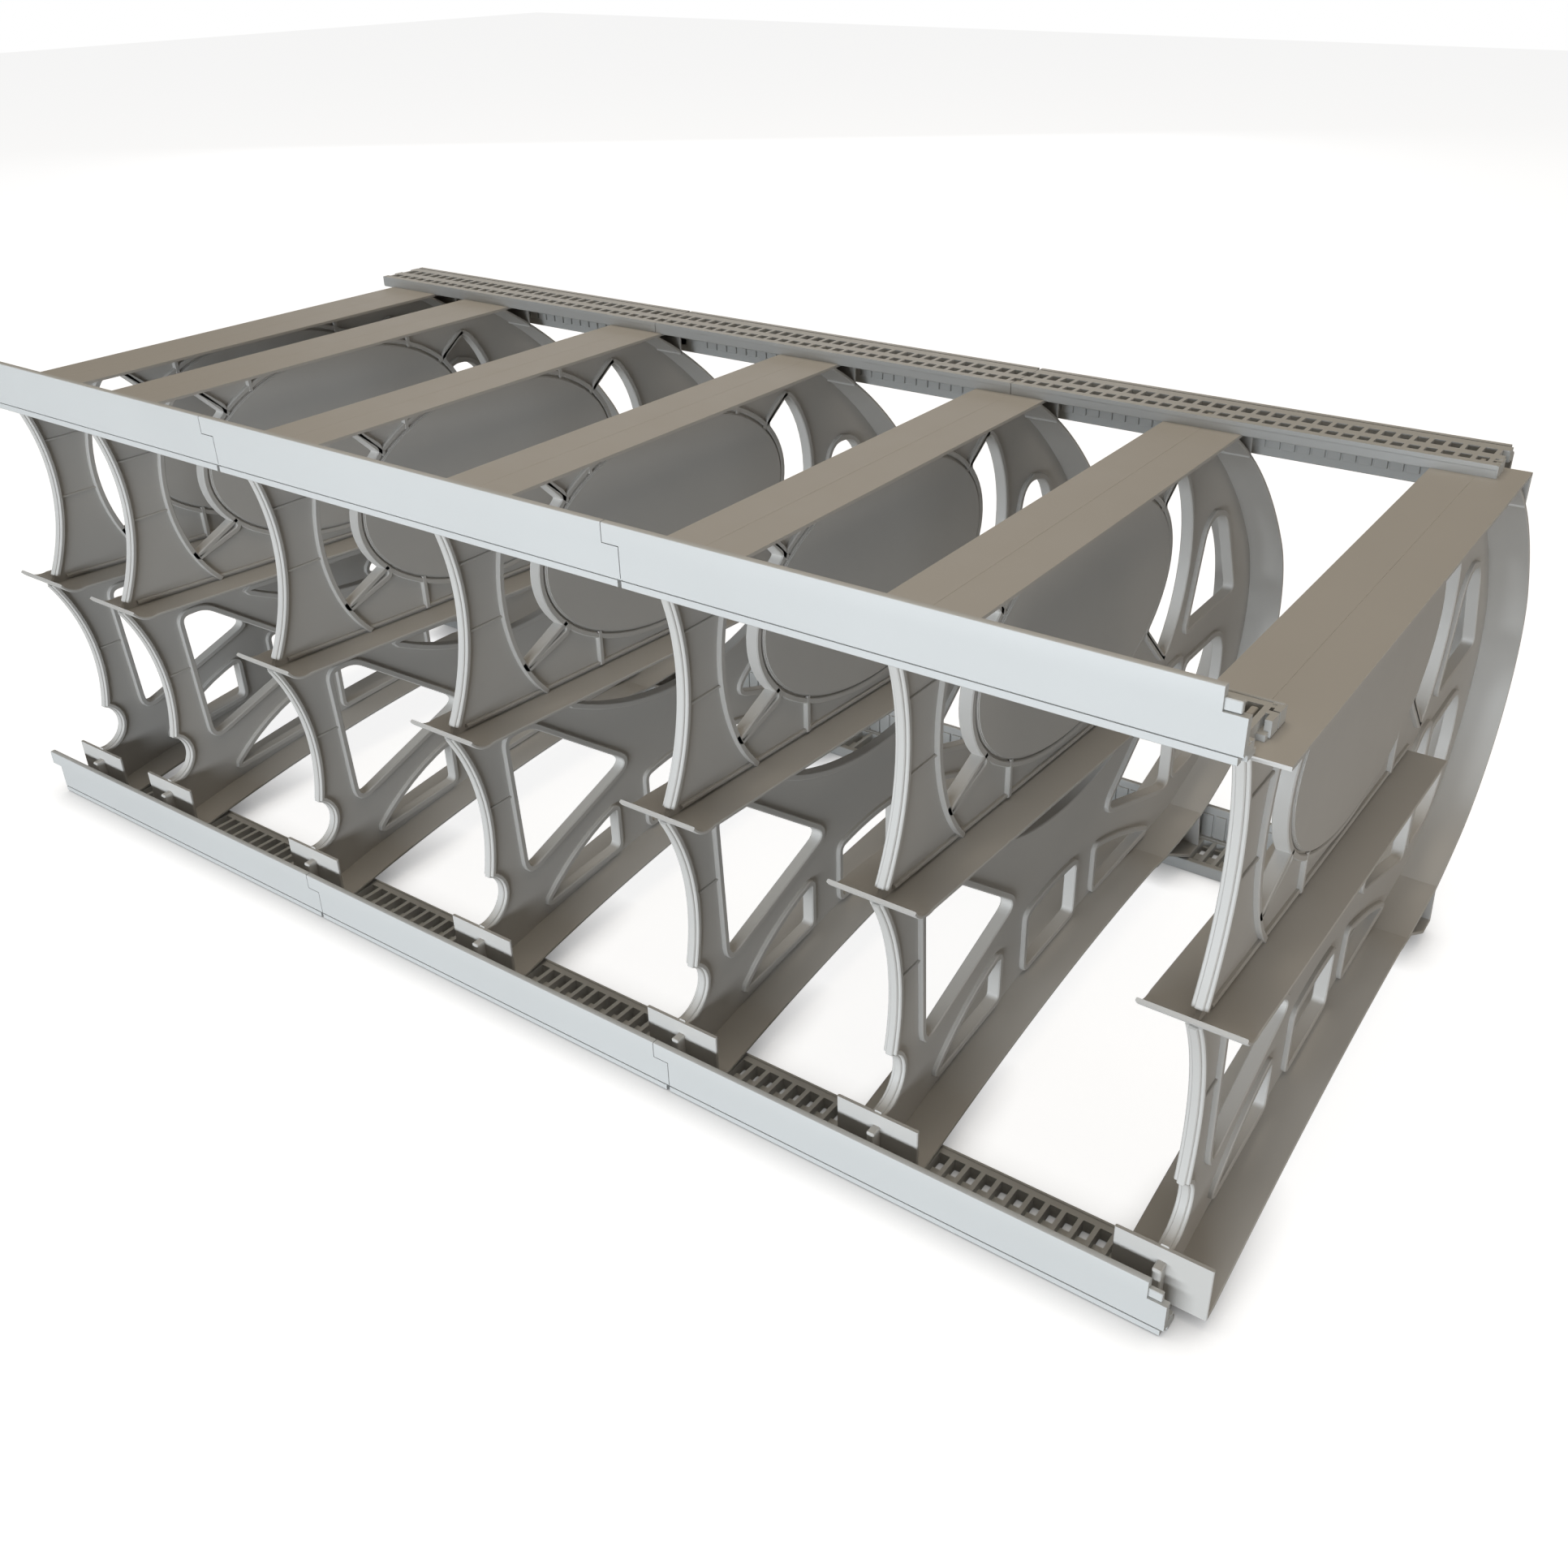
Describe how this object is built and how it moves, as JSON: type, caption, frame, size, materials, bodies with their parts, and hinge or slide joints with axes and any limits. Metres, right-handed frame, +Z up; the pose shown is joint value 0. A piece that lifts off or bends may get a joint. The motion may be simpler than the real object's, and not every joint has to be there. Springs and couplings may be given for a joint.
{
  "type": "can organizer rack",
  "caption": "Plastic gravity rack that rolls drinks cans down lanes between pierced divider walls pegged into slotted rails.",
  "frame": {"origin": "on the surface it stands on, under the middle of its overall size", "axes": "+X along the rails, to the right as seen from the open front; +Y from the front to the back; +Z up"},
  "size_m": [0.7498, 0.4135, 0.278],
  "materials": {
    "wall_plastic": "fine matte moulded plastic, light warm grey",
    "rail_plastic": "fine matte moulded plastic, light warm grey"
  },
  "bodies": {
    "root": {"divider_wall_1": "wall_plastic", "divider_wall_2": "wall_plastic", "divider_wall_3": "wall_plastic", "divider_wall_4": "wall_plastic", "divider_wall_5": "wall_plastic", "divider_wall_6": "wall_plastic", "divider_wall_7": "wall_plastic", "top_front_rail_left": "rail_plastic", "top_front_rail_middle": "rail_plastic", "top_front_rail_right": "rail_plastic", "bottom_front_rail_left": "rail_plastic", "bottom_front_rail_middle": "rail_plastic", "bottom_front_rail_right": "rail_plastic", "top_back_rail_left": "rail_plastic", "top_back_rail_middle": "rail_plastic", "top_back_rail_right": "rail_plastic", "bottom_back_rail_left": "rail_plastic", "bottom_back_rail_middle": "rail_plastic", "bottom_back_rail_right": "rail_plastic"}
  },
  "joints": []
}
